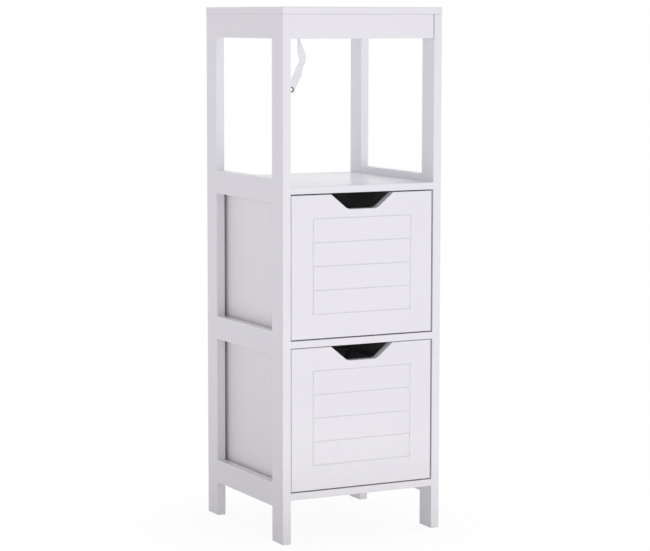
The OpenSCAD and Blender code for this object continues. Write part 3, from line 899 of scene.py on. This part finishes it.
class CABINET_OT_drawer_screws(Operator):
    """Makes the countersunk screws that hold each drawer's back between its sides."""

    bl_idname = "cabinet.drawer_screws"
    bl_label = "Drawer screws"

    def execute(self, context):
        for drawer in DRAWERS:
            node = f"{drawer}_drawer_screws"
            shape = bmesh.new()
            for low, high in solids_of(node):
                outwards = Matrix.Rotation(math.copysign(math.pi / 2, low.x), 4, "Z")
                place = Matrix.Translation((low + high) / 2) @ outwards
                add_shape(shape, countersunk_screw(high.z - low.z, high.x - low.x), place)
            name = f"{drawer}_drawer_countersunk_screws"
            smooth(add_piece(name, shape, f"{drawer}_drawer", "zinc_plated_steel", node))
        return {"FINISHED"}


class CABINET_OT_fasteners(Operator):
    """Gives the dowels, cam bolts and cam locks their finishes."""

    bl_idname = "cabinet.fasteners"
    bl_label = "Dowels, bolts and locks"

    def execute(self, context):
        dowels = {"top_rail_dowels": X, "left_frame_dowels": Y, "right_frame_dowels": Y, "top_dowels": Z}
        for node, axis in dowels.items():
            self.dress(node, turned_beech(axis))
        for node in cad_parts:
            if node.endswith("cam_bolts"):
                self.dress(node, finish_of("zinc_plated_steel"))
            if node.endswith("cam_locks"):
                self.dress(node, finish_of("zinc_die_casting"))
        return {"FINISHED"}

    def dress(self, node, material):
        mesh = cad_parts[node].data
        mesh.materials.clear()
        mesh.materials.append(material)


# Strap

# Middle of the webbing from its fixed end to its loose end: its place across the cabinet, how far it
# is in front of the screwed stretch, its height from the rear rail's lower edge, in millimetres, and
# its turn away from facing back, in degrees
STRAP_ROUTE = (
    (14, 0, 26, 0),
    (14, 0, 10, 0),
    (14, 1, 6, 8),
    (14.5, 4, 1, 30),
    (16.5, 6, -4, 45),
    (17, 6, -9, 42),
    (18, 6, -14, 32),
    (19, 6, -20, 19),
    (21, 5.5, -27, 6),
    (23.5, 5, -34, 0),
    (25, 4, -40, 12),
    (24, 3.5, -45, 21),
    (21.5, 3, -49, 18),
    (19, 3, -55, 9),
    (17, 3, -60, 2),
    (16, 3, -65, -14),
    (13, 3, -70.5, -25),
    (10, 3, -76, -22),
    (8, 3, -81, -10),
    (5.5, 3, -87, 0),
    (3.5, 3, -92, 0),
    (3, 3, -98.5, 0),
)
# Steps of the webbing between two points of its route, and cells across it
STRAP_STEPS = 4
STRAP_CELLS = 8


def between(before, start, end, after, t):
    """A smooth step from start to end that leaves and arrives in line with its neighbours."""
    ahead, back = (end - before) / 2, (after - start) / 2
    return (
        start * (2 * t**3 - 3 * t**2 + 1) + ahead * (t**3 - 2 * t**2 + t)
        + end * (3 * t**2 - 2 * t**3) + back * (t**3 - t**2)
    )


def strap_points():
    """The middle of the webbing and its turn, as smooth curves through the points of the route."""
    rail_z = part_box("rear_top_rail")[0].z
    low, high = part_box("rail_eyelet")
    strap_y = (low.y + high.y) / 2
    knots = [
        (Vector((x * MM, strap_y - near * MM, rail_z + up * MM)), math.radians(turn))
        for x, near, up, turn in STRAP_ROUTE
    ]
    points = []
    for i in range(len(knots) - 1):
        four = [knots[max(i - 1, 0)], knots[i], knots[i + 1], knots[min(i + 2, len(knots) - 1)]]
        for step in range(STRAP_STEPS):
            points.append(tuple(between(*values, step / STRAP_STEPS) for values in zip(*four)))
    return points + [knots[-1]]


def webbing_shape(points, strap):
    """A flat grid laid along the points, given its thickness, with its UV map in metres. Returns the
    webbing's length as well."""
    shape = bmesh.new()
    uv = shape.loops.layers.uv.new("weave")
    count = len(points) - 1
    bmesh.ops.create_grid(shape, x_segments=STRAP_CELLS, y_segments=count, size=0.5)
    lengths = [0.0]
    for first, second in zip(points, points[1:]):
        lengths.append(lengths[-1] + (second[0] - first[0]).length)
    # Each vertex's place across the webbing, from -0.5 to 0.5, and the point that it belongs to
    cells = {vert: (vert.co.x, round((vert.co.y + 0.5) * count)) for vert in shape.verts}
    for face in shape.faces:
        for loop in face.loops:
            across, i = cells[loop.vert]
            loop[uv].uv = (across * strap.width, lengths[i])
    for vert, (across, i) in cells.items():
        middle, turn = points[i]
        way = (points[min(i + 1, count)][0] - points[max(i - 1, 0)][0]).normalized()
        flat = Vector((math.cos(turn), math.sin(turn), 0))
        sideways = (flat - flat.dot(way) * way).normalized()
        vert.co = middle + sideways * across * strap.width
    bmesh.ops.recalc_face_normals(shape, faces=shape.faces)
    for vert in shape.verts:
        vert.normal_update()
    for vert in shape.verts:
        vert.co -= vert.normal * strap.thickness / 2
    bmesh.ops.solidify(shape, geom=shape.faces[:], thickness=-strap.thickness)
    bmesh.ops.recalc_face_normals(shape, faces=shape.faces)
    return shape, lengths[-1]


def eyelet_shape(low, high, strap):
    """A pressed eyelet, turned about Y."""
    middle = (low + high) / 2
    half = (high.y - low.y) / 2
    inner = half - strap.flange_thickness
    profile = [
        (strap.hole, -half), (strap.flange, -half), (strap.flange, -inner), (strap.barrel, -inner),
        (strap.barrel, inner), (strap.flange, inner), (strap.flange, half), (strap.hole, half),
    ]
    shape = turned_shape(profile, middle)
    ease(shape, rim_edges(shape, low, high), strap.rim, segments=4)
    return shape


class CABINET_OT_strap(Operator):
    """Makes the anti-tip strap with its two eyelets and its screw."""

    bl_idname = "cabinet.strap"
    bl_label = "Anti-tip strap"

    def execute(self, context):
        strap = settings().strap
        shape, free_length = webbing_shape(strap_points(), strap)
        tool = bmesh.new()
        for node in ("rail_eyelet", "wall_eyelet"):
            low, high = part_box(node)
            start, end = (low + high) / 2, (low + high) / 2
            start.y = low.y - OVER
            end.y = high.y + OVER
            add_rod(tool, start, end, strap.barrel)
        shape = cut_out(shape, tool)
        webbing = add_piece("anti_tip_webbing", shape, "cabinet", "white_webbing", "anti_tip_strap")
        smooth(webbing, corner=math.radians(60))
        fittings = [self.eyelet(node, strap) for node in ("rail_eyelet", "wall_eyelet")]
        shape = pan_head_screw(*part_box("strap_screw"))
        smooth(add_piece(
            "strap_screw_pan_head", shape, "cabinet", "zinc_plated_steel", "strap_screw"
        ))
        return {"FINISHED"}

    def eyelet(self, node, strap):
        shape = eyelet_shape(*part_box(node), strap)
        piece = add_piece(node + "_ring", shape, "cabinet", "nickel_plated_brass", node)
        smooth(piece)
        return piece


# Stage

# Soft round lamps that add to the light from all round, and a low strip that gives the legs and the
# lowest board what the floor keeps from them
LAMPS = {
    "front_softbox": {"place": (0.83, -3.09, 0.40), "size": (2.0, 2.0), "power": 15.0},
    "right_softbox": {"place": (2.45, 0.0, 2.55), "size": (2.0, 2.0), "power": 30.0},
    "rear_softbox": {"place": (0.0, 2.95, 2.20), "size": (2.0, 2.0), "power": 17.0},
    "low_strip": {"place": (0.10, -0.72, 0.04), "size": (1.0, 0.08), "power": 0.33},
}
# All lamps face the middle of the cabinet's foot
LAMP_TARGET = Vector((0, 0, 0))
# Keeps the floor apart from the feet of the legs, which would share its plane
FLOOR_GAP = 0.2 * MM
FLOOR_SIDES = 96
WHITE = srgb("FFFFFF")


def unseen_by_light(tree):
    """1 for rays from the camera, or seen in gloss or through glass, and 0 for the light itself."""
    rays = add_node(tree, "ShaderNodeLightPath").outputs
    total = rays["Is Camera Ray"]
    for name in ("Is Glossy Ray", "Is Transmission Ray"):
        total = add_node(
            tree, "ShaderNodeMath", values={"operation": "MAXIMUM"}, inputs={0: total, 1: rays[name]}
        ).outputs[0]
    return total


class CABINET_OT_stage(Operator):
    """Makes the camera, the pale floor, the white backdrop and the soft light."""

    bl_idname = "cabinet.stage"
    bl_label = "Camera, floor and light"

    def execute(self, context):
        stage = settings().stage
        self.camera(context.scene, stage)
        self.world(context.scene, stage)
        self.floor(stage)
        for name, lamp in LAMPS.items():
            self.lamp(context.scene, name, **lamp)
        context.scene.view_settings.view_transform = "Standard"
        return {"FINISHED"}

    def camera(self, scene, stage):
        data = bpy.data.cameras.new("camera")
        data.lens = stage.lens
        data.sensor_fit = "HORIZONTAL"
        camera = bpy.data.objects.new("camera", data)
        turn = Matrix.Rotation(-stage.yaw, 4, "Z") @ Matrix.Rotation(math.pi / 2 + stage.pitch, 4, "X")
        camera.matrix_world = Matrix.Translation(stage.eye) @ turn @ Matrix.Rotation(stage.roll, 4, "Z")
        scene.collection.objects.link(camera)
        bpy.context.scene.camera = camera

    def world(self, scene, stage):
        """A sky with a soft horizon for the light, and plain white for the camera."""
        world = bpy.data.worlds.new("white_surround")
        world.use_nodes = True
        tree = world.node_tree
        tree.nodes.clear()
        way = add_node(tree, "ShaderNodeTexCoord").outputs["Generated"]
        height = add_node(tree, "ShaderNodeSeparateXYZ", inputs={"Vector": way}).outputs["Z"]
        strength = add_node(tree, "ShaderNodeMapRange", inputs={
            "Value": height, "From Min": 0.0, "From Max": stage.horizon, "To Min": stage.lower_sky,
            "To Max": stage.upper_sky,
        })
        light = add_node(tree, "ShaderNodeBackground", inputs={
            "Color": rgba(stage.sky), "Strength": strength.outputs["Result"],
        })
        white = add_node(
            tree, "ShaderNodeBackground", inputs={"Color": rgba(WHITE), "Strength": 1.0}
        )
        mix = add_node(tree, "ShaderNodeMixShader", inputs={
            0: unseen_by_light(tree), 1: light.outputs[0], 2: white.outputs[0],
        })
        add_node(tree, "ShaderNodeOutputWorld", inputs={"Surface": mix.outputs[0]})
        scene.world = world

    def floor(self, stage):
        """A round floor that the camera sees as white, but for the cabinet's soft shadow."""
        shape = bmesh.new()
        bmesh.ops.create_circle(
            shape, cap_ends=True, segments=FLOOR_SIDES, radius=stage.floor_radius,
            matrix=Matrix.Translation((0, 0, -FLOOR_GAP)),
        )
        floor = as_object("floor", shape)
        material, tree = new_material("matt_pale_floor")
        place = add_node(tree, "ShaderNodeTexCoord").outputs["Object"]
        distance = add_node(
            tree, "ShaderNodeVectorMath", values={"operation": "LENGTH"}, inputs={0: place}
        ).outputs["Value"]
        fade = add_node(tree, "ShaderNodeMapRange", inputs={
            "Value": distance, "From Min": stage.shadow_radius, "From Max": stage.shadow_end,
            "To Min": stage.whiteness, "To Max": 1.0,
        })
        lit = add_node(tree, "ShaderNodeBsdfDiffuse", inputs={"Color": rgba(stage.floor)})
        shadowed = add_node(tree, "ShaderNodeBsdfDiffuse", inputs={"Color": rgba(stage.shadowed)})
        white = add_node(tree, "ShaderNodeEmission", inputs={"Color": rgba(WHITE), "Strength": 1.0})
        seen = add_node(tree, "ShaderNodeMixShader", inputs={
            0: fade.outputs["Result"], 1: shadowed.outputs[0], 2: white.outputs[0],
        })
        mix = add_node(tree, "ShaderNodeMixShader", inputs={
            0: unseen_by_light(tree), 1: lit.outputs[0], 2: seen.outputs[0],
        })
        add_node(tree, "ShaderNodeOutputMaterial", inputs={"Surface": mix.outputs[0]})
        floor.data.materials.append(material)

    def lamp(self, scene, name, place, size, power):
        """An oval lamp that lights the cabinet and that the camera doesn't see."""
        data = bpy.data.lights.new(name, "AREA")
        data.shape = "ELLIPSE"
        data.size, data.size_y = size
        data.energy = power
        lamp = bpy.data.objects.new(name, data)
        lamp.location = place
        lamp.rotation_mode = "QUATERNION"
        lamp.rotation_quaternion = (LAMP_TARGET - Vector(place)).to_track_quat("-Z", "Y")
        lamp.visible_camera = False
        scene.collection.objects.link(lamp)


# Add-on

OPERATORS = (
    CABINET_OT_stage,
    CABINET_OT_top,
    CABINET_OT_side_frames,
    CABINET_OT_shelves,
    CABINET_OT_panels,
    CABINET_OT_drawer_fronts,
    CABINET_OT_drawer_boxes,
    CABINET_OT_drawer_screws,
    CABINET_OT_fasteners,
    CABINET_OT_strap,
)


class CABINET_PT_sidebar(Panel):
    """Lists the settings and the operators of the cabinet."""

    bl_idname = "CABINET_PT_sidebar"
    bl_label = "Cabinet"
    bl_space_type = "VIEW_3D"
    bl_region_type = "UI"
    bl_category = "Cabinet"

    def draw(self, context):
        for group in ("edges", "front", "strap", "screws", "colours", "stage"):
            box = self.layout.box()
            box.label(text=group.capitalize())
            values = getattr(context.scene.cabinet, group)
            for name in values.__annotations__:
                box.prop(values, name)
        for operator in OPERATORS:
            self.layout.operator(operator.bl_idname)


CLASSES = (
    CABINET_PG_edges,
    CABINET_PG_front,
    CABINET_PG_strap,
    CABINET_PG_screws,
    CABINET_PG_colours,
    CABINET_PG_stage,
    CABINET_PG_settings,
    *OPERATORS,
    CABINET_PT_sidebar,
)


def register():
    for item in CLASSES:
        bpy.utils.register_class(item)
    bpy.types.Scene.cabinet = PointerProperty(type=CABINET_PG_settings)


def unregister():
    del bpy.types.Scene.cabinet
    for item in reversed(CLASSES):
        bpy.utils.unregister_class(item)


def main():
    register()
    for operator in OPERATORS:
        group, name = operator.bl_idname.split(".")
        getattr(getattr(bpy.ops, group), name)()


if __name__ == "__main__":
    main()
